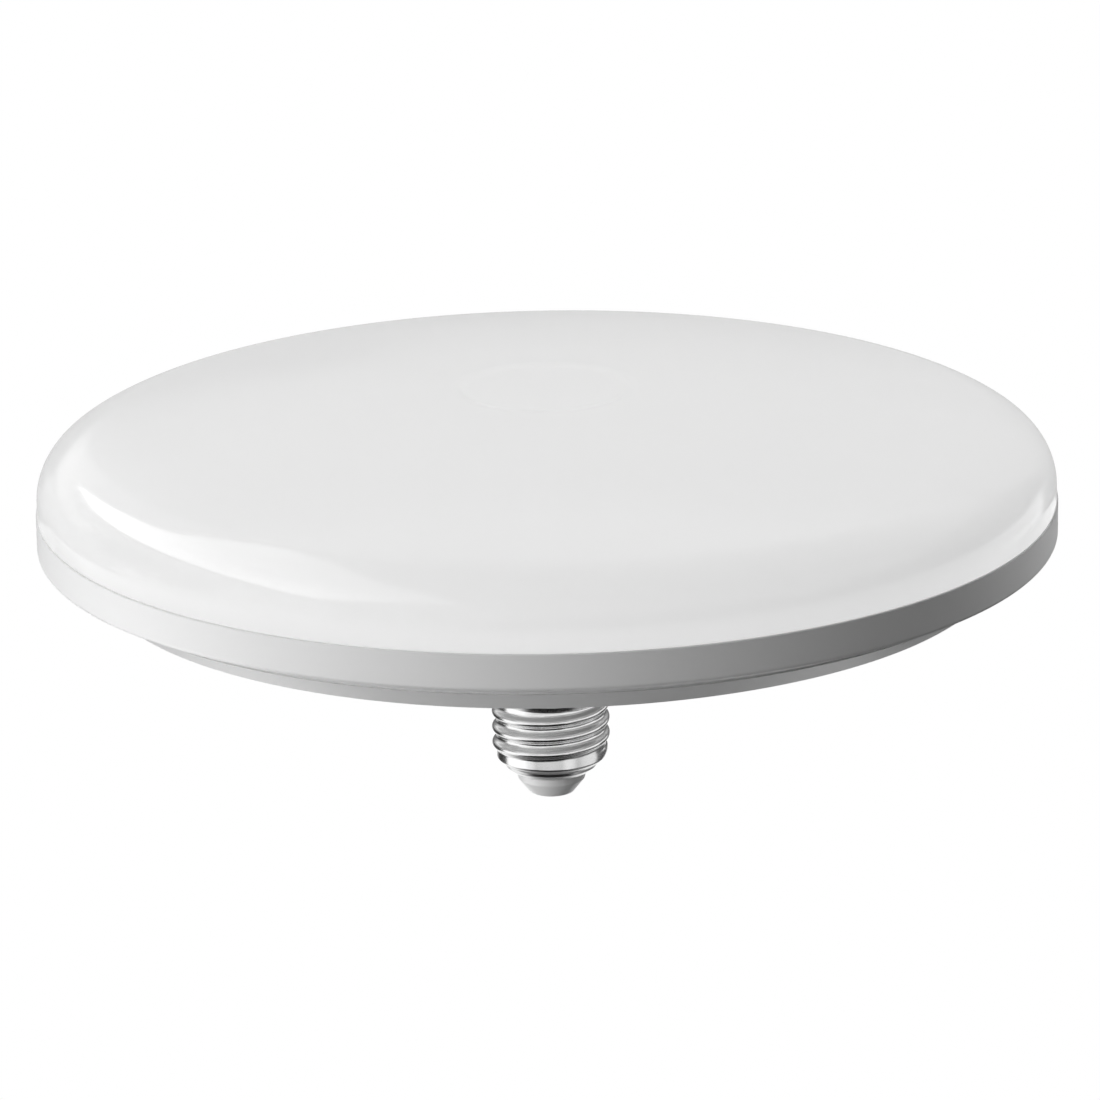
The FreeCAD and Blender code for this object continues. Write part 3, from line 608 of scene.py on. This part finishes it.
def make_diffuser():
    """The opal dome: skirt, rounded shoulder, shallow crown and the round gate recess."""
    shoulder_centre = (dome_radius - SHOULDER_ROUND, rim_top + DOME_STRAIGHT)
    shift = BLEND_ROUND - SHOULDER_ROUND
    blend_centre = (
        shoulder_centre[0] - shift * math.cos(math.radians(SHOULDER_ANGLE)),
        shoulder_centre[1] - shift * math.sin(math.radians(SHOULDER_ANGLE)),
    )
    crown_round = blend_centre[0] / math.cos(math.radians(BLEND_ANGLE)) + BLEND_ROUND
    crown_drop = (crown_round - BLEND_ROUND) * math.sin(math.radians(BLEND_ANGLE))
    crown_centre = (0, blend_centre[1] - crown_drop)

    def wall(inset, steps):
        """The shoulder and the blend, from rim to crown."""
        shoulder = arc(shoulder_centre, SHOULDER_ROUND - inset, 0, SHOULDER_ANGLE, steps)
        blend = arc(blend_centre, BLEND_ROUND - inset, SHOULDER_ANGLE, BLEND_ANGLE, steps)
        return shoulder + blend[1:]

    # The recess's edge falls from the lip to the floor, through a point half way down.
    recess_angle = math.degrees(math.acos(RECESS_RADIUS / crown_round))
    lip_angle = math.degrees(math.acos((RECESS_RADIUS + RECESS_EDGE) / crown_round))
    floor_angle = math.degrees(math.acos((RECESS_RADIUS - RECESS_EDGE) / crown_round))
    half_way = crown_round - RECESS_DEPTH / 2
    skirt_inner = skirt_radius - DOME_WALL
    seat = rounded([
        (skirt_inner, dome_low.z, EDGE_ROUND),
        (skirt_radius, dome_low.z, EDGE_ROUND),
        (skirt_radius, rim_top, 0),
        (dome_radius, rim_top, DOME_FOOT_ROUND),
        (dome_radius, rim_top + DOME_STRAIGHT, 0),
    ])
    crown = arc(crown_centre, crown_round, BLEND_ANGLE, lip_angle, 40)
    middle = arc(crown_centre, half_way, recess_angle, recess_angle, 1)[:1]
    recess = arc(crown_centre, crown_round - RECESS_DEPTH, floor_angle, 90, 12)
    recess[-1] = (0, recess[-1][1])
    inside = arc(crown_centre, crown_round - DOME_WALL, 90, BLEND_ANGLE, 24)
    inside[0] = (0, inside[0][1])
    outline = (
        seat[:-1] + wall(0, 16) + crown[1:] + middle + recess
        + inside + wall(DOME_WALL, 10)[::-1][1:]
        + [(dome_radius - DOME_WALL, rim_top + SKIRT_STEP_TOP),
           (skirt_inner, rim_top + SKIRT_STEP_BOTTOM)]
    )
    dress(turned("diffuser_dome", outline), opal, "diffuser")
    lug = box_piece("diffuser_lugs", (skirt_radius - LUG_ROOT, -LUG_WIDTH / 2, lug_bottom),
                    (skirt_radius + LUG_REACH, LUG_WIDTH / 2, lug_top), SMALL_ROUND)
    dress(set_round(lug, opal, LUG_COUNT), opal, "diffuser")


def make_housing():
    """The white moulding: ring, stepped back, conical neck and the spigot in the cap."""
    slope_ratio = BACK_SLOPE_HEIGHT / BACK_SLOPE_WIDTH
    slope_lift = HOUSING_WALL * math.hypot(1, slope_ratio)
    neck_ratio = NECK_HEIGHT / (NECK_TOP_RADIUS - COLLAR_RADIUS)
    neck_lift = HOUSING_WALL * math.hypot(1, neck_ratio)
    meet = step_radius + (HOUSING_WALL - slope_lift) / (slope_ratio - floor_ratio)
    neck_inner = NECK_TOP_RADIUS - (neck_lift - HOUSING_WALL) / (neck_ratio - floor_ratio)
    inner_neck_top = neck_top + HOUSING_WALL + (neck_inner - NECK_TOP_RADIUS) * floor_ratio
    neck_foot = COLLAR_RADIUS + (HOUSING_WALL - neck_lift) / neck_ratio
    bore = SPIGOT_RADIUS - HOUSING_WALL
    ledge_inner = ring_inner_radius - LEDGE_WIDTH
    ledge_top = plate_low.z
    # A groove in the slope, close below the ring, that shows as a dark line
    groove_top = ring_bottom - SHADE_GROOVE_DROP
    groove_foot = groove_top - SHADE_GROOVE_HEIGHT
    groove_top_lip = slope_top_radius - SHADE_GROOVE_DROP / slope_ratio
    groove_foot_lip = groove_top_lip - SHADE_GROOVE_HEIGHT / slope_ratio
    groove_end = groove_foot_lip - SHADE_GROOVE_DEPTH
    outline = rounded([
        (bore, housing_low.z, EDGE_ROUND),
        (SPIGOT_RADIUS, housing_low.z, EDGE_ROUND),
        (SPIGOT_RADIUS, cap_rim, 0),
        (COLLAR_RADIUS, cap_rim, COLLAR_ROUND),
        (COLLAR_RADIUS, neck_bottom, NECK_FOOT_ROUND),
        (NECK_TOP_RADIUS, neck_top, NECK_TOP_ROUND),
        (step_radius, back_floor, STEP_ROUND),
        (groove_foot_lip, groove_foot, 0),
        (groove_end, groove_foot, 0),
        (groove_end, groove_top, 0),
        (groove_top_lip, groove_top, 0),
        (slope_top_radius, ring_bottom, SLOPE_TOP_ROUND),
        (ring_radius, ring_bottom, RING_FOOT_ROUND),
        (ring_radius, rim_top, RING_RIM_ROUND),
        (ring_inner_radius, rim_top, EDGE_ROUND),
        (ring_inner_radius, lug_top + SNAP_CLEARANCE, 0),
        (ring_inner_radius + SNAP_GROOVE_DEPTH, lug_top + SNAP_CLEARANCE, 0),
        (ring_inner_radius + SNAP_GROOVE_DEPTH, lug_bottom - SNAP_CLEARANCE, 0),
        (ring_inner_radius, lug_bottom - SNAP_CLEARANCE, 0),
        (ring_inner_radius, ledge_top, 0),
        (ledge_inner, ledge_top, EDGE_ROUND),
        (ledge_inner, back_floor + slope_lift + (ledge_inner - step_radius) * slope_ratio, 0),
        (meet, back_floor + HOUSING_WALL + (meet - step_radius) * floor_ratio, INNER_STEP_ROUND),
        (neck_inner, inner_neck_top, INNER_NECK_ROUND),
        (neck_foot, neck_bottom + HOUSING_WALL, EDGE_ROUND),
        (bore, neck_bottom + HOUSING_WALL, EDGE_ROUND),
    ])
    dress(turned("housing_shell", outline), white_plastic, "housing")

    rib_inner = driver_high.x + RIB_GAP
    rib_top = back_floor + HOUSING_WALL + RIB_HEIGHT
    rib_foot = neck_top + HOUSING_WALL / 2 + (rib_inner - NECK_TOP_RADIUS) * floor_ratio
    rib_reach = step_radius + (HOUSING_WALL + RIB_HEIGHT - slope_lift / 2) / slope_ratio
    rib = prism("housing_ribs", [
        (rib_inner, rib_foot), (step_radius, back_floor + HOUSING_WALL / 2),
        (rib_reach, rib_top), (rib_inner, rib_top),
    ], RIB_THICKNESS)
    dress(set_round(rib, white_plastic, RIB_COUNT), white_plastic, "housing")


def make_bosses(name, circle, count, start, radius, pilot, top):
    """Hollow screw bosses that stand on the inside of the back."""
    foot = neck_top + (circle - NECK_TOP_RADIUS) * floor_ratio + BOSS_FOOT_RISE
    boss = turned(name, rounded([
        (pilot, foot, 0), (radius, foot, 0), (radius, top, EDGE_ROUND), (pilot, top, EDGE_ROUND),
    ]), segments=BOSS_SEGMENTS)
    boss.data.transform(Matrix.Translation((circle, 0, 0)))
    dress(set_round(boss, white_plastic, count, start), white_plastic, "housing")


def make_cap_shell():
    """The thin nickelled sleeve with its rolled thread."""
    sharp = rounded([
        (LIP_RADIUS, LIP_HEIGHT, EDGE_ROUND),
        (FOOT_RADIUS, FOOT_HEIGHT, CAP_ROUND),
        (WAIST_RADIUS, WAIST_HEIGHT, CAP_ROUND),
        (THREAD_ROOT_RADIUS, TAPER_TOP, TAPER_ROUND),
        (THREAD_ROOT_RADIUS, cap_rim - 2 * BELL_HEIGHT, CAP_ROUND),
        (BELL_RADIUS, cap_rim - BELL_HEIGHT, CAP_ROUND),
        (BELL_RADIUS, cap_rim, 0),
    ])
    # Rows close enough for the thread to show as a round knuckle.
    rows = [sharp[0]]
    for start, end in zip(sharp, sharp[1:]):
        length = math.dist(start, end)
        count = max(1, round(length / THREAD_ROW_STEP))
        for step in range(1, count + 1):
            share = step / count
            rows.append(tuple(a + (b - a) * share for a, b in zip(start, end)))
    sleeve = turned("cap_sleeve", rows, closed=False, segments=SLEEVE_SEGMENTS)
    sleeve = grown(sleeve, rolled_thread, nickel, {
        "First Crest": FIRST_CREST, "Pitch": THREAD_PITCH, "Depth": THREAD_DEPTH,
        "Turns": THREAD_TURNS, "Run Out": THREAD_RUN_OUT,
    })
    wall = sleeve.modifiers.new("wall", "SOLIDIFY")
    wall.thickness = CAP_WALL
    wall.offset = -1
    dress(after_modifiers(sleeve), nickel, "cap_shell")


def make_cap_end():
    """The white insulator in the cap's mouth and the contact riveted through it."""
    plug = insulator_high.x
    hole = STEM_RADIUS + INSULATOR_CLEARANCE
    # About how far the shell's sloping wall reaches along each axis
    slant = CAP_WALL * math.sqrt(0.5)
    insulator = rounded([
        (hole, insulator_low.z, 0),
        (INSULATOR_TIP_RADIUS, insulator_low.z, INSULATOR_TIP_ROUND),
        (INSULATOR_SHOULDER_RADIUS, INSULATOR_SHOULDER_HEIGHT, INSULATOR_SHOULDER_ROUND),
        (LIP_RADIUS - slant - INSULATOR_CLEARANCE, LIP_HEIGHT + slant, FINE_ROUND),
        (plug, FOOT_HEIGHT + 2 * INSULATOR_CLEARANCE, SMALL_ROUND),
        (plug, insulator_high.z, EDGE_ROUND),
        (hole, insulator_high.z, 0),
    ])
    cone = turned("cap_insulator_cone", insulator, segments=INSULATOR_SEGMENTS)
    dress(cone, insulator_white, "cap_insulator")
    contact = [(0, 0)] + rounded([
        (contact_high.x, 0, EDGE_ROUND),
        (contact_high.x, insulator_low.z, FINE_ROUND),
        (STEM_RADIUS, insulator_low.z, 0),
        (STEM_RADIUS, insulator_high.z, 0),
        (RIVET_RADIUS, insulator_high.z, FINE_ROUND),
        (RIVET_RADIUS, contact_high.z, SMALL_ROUND),
    ]) + [(0, contact_high.z)]
    rivet = turned("contact_rivet", contact, segments=CONTACT_SEGMENTS)
    dress(rivet, contact_nickel, "centre_contact")


def make_led_packages():
    """White packages with a round yellow window, in rings on the board."""
    step = (board_high.x - LED_EDGE_GAP - LED_INNER_RING) / (LED_RINGS - 1)
    half_length, half_width = LED_LENGTH / 2, LED_WIDTH / 2
    low = (LED_INNER_RING - half_length, -half_width, board_high.z)
    high = (LED_INNER_RING + half_length, half_width, board_high.z + LED_HEIGHT - WINDOW_RISE)
    package = box_piece("led_packages", low, high, LED_ROUND)
    dress(set_round(package, connector_plastic, LED_SPOKES, 0, LED_RINGS, step),
          connector_plastic, "led_chips")
    top = high[2]
    window = turned("led_windows", [
        (0, top - WINDOW_EDGE), (WINDOW_RADIUS, top - WINDOW_EDGE), (WINDOW_RADIUS, top),
        (WINDOW_RADIUS - WINDOW_EDGE, top + WINDOW_RISE), (0, top + WINDOW_RISE),
    ], segments=WINDOW_SEGMENTS)
    window.data.transform(Matrix.Translation((LED_INNER_RING, 0, 0)))
    dress(set_round(window, phosphor, LED_SPOKES, 0, LED_RINGS, step),
          phosphor, "led_chips")


def make_screws(node, circle, count, start, seat, radius, length, head_radius, head_height):
    """Pan-head screws with a cross recess, their heads at a height called seat."""
    tip, top = seat - length, seat + head_height
    tip_radius, crown_radius = radius * 0.4, head_radius * 0.55
    draft, shoulder = 0.2 * MM, 0.4 * MM
    foot_round, shoulder_round, crown_round = 0.15 * MM, 0.3 * MM, 0.5 * MM
    screw = turned(node + "_pan_head", [(0, tip)] + rounded([
        (tip_radius, tip, 0),
        (radius, tip + radius, FINE_ROUND),
        (radius, seat, 0),
        (head_radius, seat, foot_round),
        (head_radius - draft, top - shoulder, shoulder_round),
        (crown_radius, top, crown_round),
    ]) + [(0, top)], segments=SMALL_SEGMENTS)
    arm, half_slot, depth = head_radius * 0.6, head_radius * 0.14, head_height * 0.6
    bar_round = 0.05 * MM
    for turn in (0, 90):
        bar = box_piece("recess_bar", (-arm, -half_slot, top - depth), (arm, half_slot, top + depth),
                        bar_round)
        bar.data.transform(Matrix.Rotation(math.radians(turn), 4, "Z"))
        cut = screw.modifiers.new("recess", "BOOLEAN")
        cut.object = bar
        after_modifiers(screw)
        bpy.data.objects.remove(bar)
    screw.data.transform(Matrix.Translation((circle, 0, 0)))
    dress(set_round(screw, screw_steel, count, start), screw_steel, node)


def make_winding():
    """Turns of enamelled wire between the flanges of the drum core."""
    low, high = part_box("power_choke_winding")
    middle = (low + high) / 2
    length = high.z - low.z
    coil_radius = (high.x - low.x) / 2 - WIRE_RADIUS
    inner_layers = turned("choke_winding", [
        (DRUM_WAIST_RADIUS, 0), (coil_radius, 0), (coil_radius, length), (DRUM_WAIST_RADIUS, length),
    ], segments=SMALL_SEGMENTS)
    winding = grown(inner_layers, wound_wire, copper_wire, {
        "Coil Radius": coil_radius, "Wire Radius": WIRE_RADIUS, "Length": length - 2 * WIRE_RADIUS,
    })
    winding.data.transform(Matrix.Translation((middle.x, middle.y, low.z)))
    dress(winding, copper_wire, "power_choke_winding")


make_diffuser()
make_housing()
make_bosses("board_bosses", *board_screw_places, BOARD_BOSS_RADIUS, BOARD_SCREW["radius"], plate_low.z)
make_bosses("driver_bosses", *driver_screw_places, DRIVER_BOSS_RADIUS, DRIVER_SCREW["radius"], driver_low.z)
make_cap_shell()
make_cap_end()
make_led_packages()
make_screws("board_screws", *board_screw_places, board_high.z, **BOARD_SCREW)
make_screws("driver_screws", *driver_screw_places, driver_high.z, **DRIVER_SCREW)
make_winding()


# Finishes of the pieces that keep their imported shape

FINISHES = {
    "heat_sink_plate": aluminium,
    "led_board": solder_mask,
    "led_board_connector": connector_plastic,
    "driver_board": laminate,
    "bulk_capacitor": can_sleeve,
    "output_capacitor": can_sleeve,
    "input_choke": black_package,
    "film_capacitor": film_case,
    "varistor": varistor_coat,
    "fuse_resistor": resistor_body,
    "bridge_rectifier": black_package,
    "driver_chip": black_package,
    "freewheel_diode": black_package,
    "power_choke_core": ferrite,
    "line_lead": red_insulation,
    "neutral_lead": black_insulation,
    "led_lead_positive": red_insulation,
    "led_lead_negative": black_insulation,
}
for node, material in FINISHES.items():
    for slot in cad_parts[node].material_slots:
        slot.material = material


# Studio: camera, floor, light panels and grey cards

CAMERA_PLACE = (0, -1.335018, 0.469625)
CAMERA_TILT = (72.807, 0.978, -0.324)
CAMERA_LENS = 206.7
SENSOR_WIDTH = 36
CLIP_END = 50
FLOOR_HEIGHT = -0.15
FLOOR_SIZE = 12
FLOOR_WHITE_FROM = 0.1
FLOOR_WHITE_TO = 0.17
FLOOR_DULL = 0.25
FLOOR_PALE = 0.8
FLOOR_LIFT = 0.36
AMBIENT = 0.06
CARD_SOFT_EDGE = 0.12
DOWN = (0, 0, -1)
LAMP_MIDDLE = Vector((0, 0, 0.05))


def make_camera():
    """A long lens that sees the lamp as the photo does."""
    data = bpy.data.cameras.new("photo_camera")
    data.lens = CAMERA_LENS
    data.sensor_width = SENSOR_WIDTH
    data.clip_end = CLIP_END
    camera = bpy.data.objects.new("photo_camera", data)
    camera.location = CAMERA_PLACE
    camera.rotation_euler = [math.radians(angle) for angle in CAMERA_TILT]
    bpy.context.scene.collection.objects.link(camera)
    bpy.context.scene.camera = camera


def seen_directly(net):
    """1 for camera, mirror and glass rays, which are shown the white background."""
    path = net.add("ShaderNodeLightPath")
    mirrored = path.maths("MAXIMUM", net.output(path, "Is Glossy Ray"))
    return mirrored.maths("MAXIMUM", net.output(path, "Is Transmission Ray"))


def flat_panel(name, centre, facing, size):
    """A flat rectangle, size its width and height, square to facing.

    Its mesh faces the other way.
    """
    mesh = bmesh.new()
    bmesh.ops.create_grid(mesh, x_segments=1, y_segments=1, size=0.5)
    bmesh.ops.scale(mesh, verts=mesh.verts, vec=(*size, 1))
    data = bpy.data.meshes.new(name)
    mesh.to_mesh(data)
    mesh.free()
    panel = bpy.data.objects.new(name, data)
    panel.location = centre
    panel.rotation_mode = "QUATERNION"
    panel.rotation_quaternion = Vector(facing).to_track_quat("-Z", "Y")
    bpy.context.scene.collection.objects.link(panel)
    return panel


def make_floor():
    """A pale floor: it keeps the lamp's shadow, is white further out and clear from below.

    It gives little light back to the lamp.
    """
    floor = flat_panel("floor", (0, 0, FLOOR_HEIGHT), DOWN, (FLOOR_SIZE, FLOOR_SIZE))
    material, net = new_material("floor_paper")
    place = net.add("ShaderNodeTexCoord", output="Object")
    distance = net.add("ShaderNodeVectorMath", {"operation": "LENGTH"}, [place], output="Value")
    away = distance.smooth(FLOOR_WHITE_FROM, FLOOR_WHITE_TO)
    dull = net.add("ShaderNodeBsdfDiffuse", None, {"Color": grey(FLOOR_DULL)})
    pale = net.add("ShaderNodeBsdfDiffuse", None, {"Color": grey(FLOOR_PALE)})
    lift = net.add("ShaderNodeEmission", None, {"Color": grey(1), "Strength": FLOOR_LIFT})
    pale = net.add("ShaderNodeAddShader", None, {0: pale, 1: lift})
    white = net.add("ShaderNodeEmission", None, {"Color": grey(1), "Strength": 1.0})
    seen = net.add("ShaderNodeLightPath")
    near = net.add("ShaderNodeMixShader", None, {0: seen, 1: dull, 2: pale})
    whole = net.add("ShaderNodeMixShader", None, {0: seen_directly(net) * away, 1: near, 2: white})
    clear = net.add("ShaderNodeBsdfTransparent")
    below = net.add("ShaderNodeNewGeometry", output="Backfacing")
    top_only = net.add("ShaderNodeMixShader", None, {0: below, 1: whole, 2: clear})
    finish_material(net, top_only)
    floor.data.materials.append(material)


def make_world():
    """White behind the lamp, and a low even light on it."""
    world = bpy.data.worlds.new("studio")
    world.use_nodes = True
    net = Net(world.node_tree)
    strength = AMBIENT + (1 - AMBIENT) * seen_directly(net)
    background = net.add("ShaderNodeBackground", None, {"Color": grey(1), "Strength": strength})
    net.add("ShaderNodeOutputWorld", None, {"Surface": background})
    bpy.context.scene.world = world


def around(azimuth, elevation, distance):
    """A place seen from the lamp: azimuth 0 is towards the camera, 90 to its right."""
    turn, rise = math.radians(azimuth), math.radians(elevation)
    level = distance * math.cos(rise)
    reach = Vector((level * math.sin(turn), -level * math.cos(turn), distance * math.sin(rise)))
    return LAMP_MIDDLE + reach


def glowing(name, size, near, far, way, mirrored, soft_edge):
    """A panel's face: its strength goes from near to far along its own X or Y.

    mirrored is its strength in a reflection, as a share of its strength as a light.
    soft_edge is the share of its width and height in which it fades out.
    """
    width, height = size
    material, net = new_material(name)
    place = net.add("ShaderNodeTexCoord", output="Object")
    x = net.add("ShaderNodeSeparateXYZ", None, {"Vector": place})
    y = net.output(x, "Y")
    across, span = (x, width) if way == "X" else (y, height)
    strength = near + (far - near) * across.smooth(-span / 2, span / 2)
    glossy = net.output(net.add("ShaderNodeLightPath"), "Is Glossy Ray")
    strength = strength * (1 + (mirrored - 1) * glossy)
    shader = net.add("ShaderNodeEmission", None, {"Color": grey(1), "Strength": strength})
    if soft_edge:
        inside_x = (width / 2 - x.maths("ABSOLUTE")).smooth(0, soft_edge * width)
        inside_y = (height / 2 - y.maths("ABSOLUTE")).smooth(0, soft_edge * height)
        clear = net.add("ShaderNodeBsdfTransparent")
        shader = net.add("ShaderNodeMixShader", None, {0: inside_x * inside_y, 1: clear, 2: shader})
    finish_material(net, shader)
    return material


def light_panel(name, centre, facing, size, near, far=None, way="X", mirrored=1, soft_edge=0):
    """A panel with a bright face, out of the camera's sight."""
    panel = flat_panel(name, centre, facing, size)
    far = near if far is None else far
    panel.data.materials.append(glowing(name, size, near, far, way, mirrored, soft_edge))
    panel.visible_camera = False
    return panel


def grey_card(name, centre, facing, size, shade, top_shade=None):
    """A card that only shows as a reflection; it takes no light from the lamp."""
    card = light_panel(name, centre, facing, size, shade, top_shade, "Y", soft_edge=CARD_SOFT_EDGE)
    card.visible_diffuse = False
    card.visible_shadow = False


def soft_box(name, place, size, strength, mirrored=1):
    """A light panel that faces the lamp from a place: azimuth, elevation and distance."""
    centre = around(*place)
    light_panel(name, centre, LAMP_MIDDLE - centre, size, strength, mirrored=mirrored)


def make_lights():
    """Soft boxes that light the lamp, then the cards that its faces mirror."""
    light_panel("overhead_strip", (-0.77, 0.95, 1.08), DOWN, (0.87, 3.4), 1.5, 0.8, mirrored=2.7)
    soft_box("left_softbox", (-57, 4, 1.2), (1.15, 1.1), 2.35, 0.42)
    soft_box("left_low", (-80, -26, 0.34), (0.3, 0.12), 3.6, 0.35)
    soft_box("right_fill", (138, 6, 1.2), (0.8, 0.8), 4.4, 0.2)
    soft_box("front_left", (-34, 14, 1.1), (0.5, 0.5), 3.4, 0.2)
    soft_box("back_high", (180, 35, 1.4), (1.4, 0.8), 1.0)
    soft_box("front_low", (-10, -24, 0.45), (0.6, 0.12), 0.4, 2.25)

    # Low cards, mirrored in the slope and in the screw cap
    floor_card = FLOOR_HEIGHT + 1 * MM
    grey_card("front_card", (-0.03, -0.22, floor_card), DOWN, (0.46, 0.4), 0.01)
    grey_card("left_back_card", (-0.19, 0.15, -0.07), (0.19, -0.15, 0), (0.2, 0.15), 0.03)
    grey_card("right_back_card", (0.19, 0.15, -0.085), (-0.19, -0.15, 0), (0.22, 0.13), 0.1)
    grey_card("right_card", (0.27, 0.0, floor_card), DOWN, (0.3, 0.6), 0.15)
    grey_card("underside_card", (0, 0, back_floor - 4 * MM), DOWN, (0.13, 0.13), 0.6)

    # Cards further off, mirrored at the edges of the dome and the ring
    grey_card("backdrop", (0.19, 0.7, 0.2), (0, -1, 0), (1.02, 0.9), 0.0, 0.75)
    grey_card("back_left_card", (-0.28, 0.68, 0.0), (0, -1, 0), (0.5, 0.42), 0.1, 0.25)
    grey_card("right_backdrop", (0.72, 0.42, 0.35), (-0.86, -0.5, 0), (0.8, 0.56), 0.1, 0.6)
    grey_card("front_right_card", (0.38, -0.82, 0.3), (-0.42, 0.91, 0), (1.7, 0.44), 0.3, 0.6)
    grey_card("right_side_card", (0.85, -0.1, 0.3), (-1, 0.1, 0), (0.8, 0.44), 0.2, 0.5)
    grey_card("left_card", (-0.8, 0.1, 0.3), (1, 0, 0), (0.8, 0.42), 0.25, 0.6)
    grey_card("left_backdrop", (-0.6, 0.5, 0.05), (0.7, -0.7, 0), (1.0, 0.36), 0.2, 0.6)
    grey_card("left_floor_card", (-0.4, 0.55, floor_card), DOWN, (0.6, 0.8), 0.4)
    grey_card("right_floor_card", (0.42, 0.6, floor_card), DOWN, (0.6, 0.7), 0.6)


make_camera()
make_floor()
make_world()
make_lights()

bpy.context.scene.view_settings.view_transform = "Standard"
